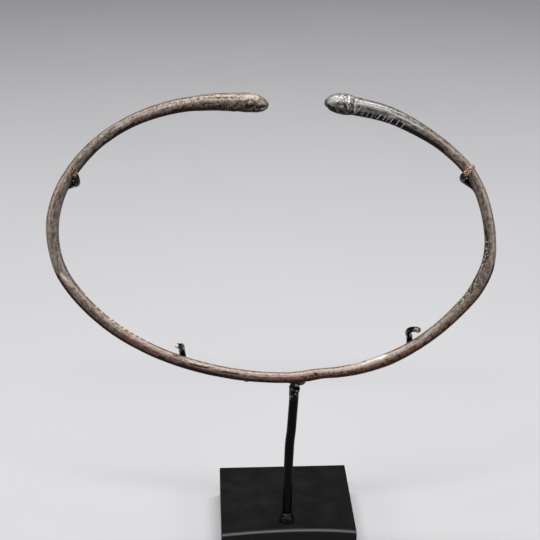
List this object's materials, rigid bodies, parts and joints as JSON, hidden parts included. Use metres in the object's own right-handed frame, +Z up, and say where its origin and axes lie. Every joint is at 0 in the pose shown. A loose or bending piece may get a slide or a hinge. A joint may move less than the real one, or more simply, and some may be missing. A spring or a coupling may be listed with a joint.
{
  "type": "torc",
  "caption": "Ancient bronze neck torc with snake-head ends, held by wire claws on a bent stem and a square black display block",
  "frame": {"origin": "centre of the block's underside", "axes": "+Z up, the object's longest extent; +X to the right along the ring's width; +Y to the back, the shortest extent; the ring's face looks to -Y and leans back towards +Y"},
  "size_m": [0.1628, 0.0508, 0.172],
  "materials": {
    "bronze": "patinated",
    "stand_wire": "gloss",
    "block": "satin"
  },
  "bodies": {
    "root": {"torc": "bronze", "cradle_wire": "stand_wire", "claw_lower_left": "stand_wire", "claw_lower_right": "stand_wire", "stem": "stand_wire", "stem_collar": "stand_wire", "base_block": "block"}
  },
  "joints": []
}
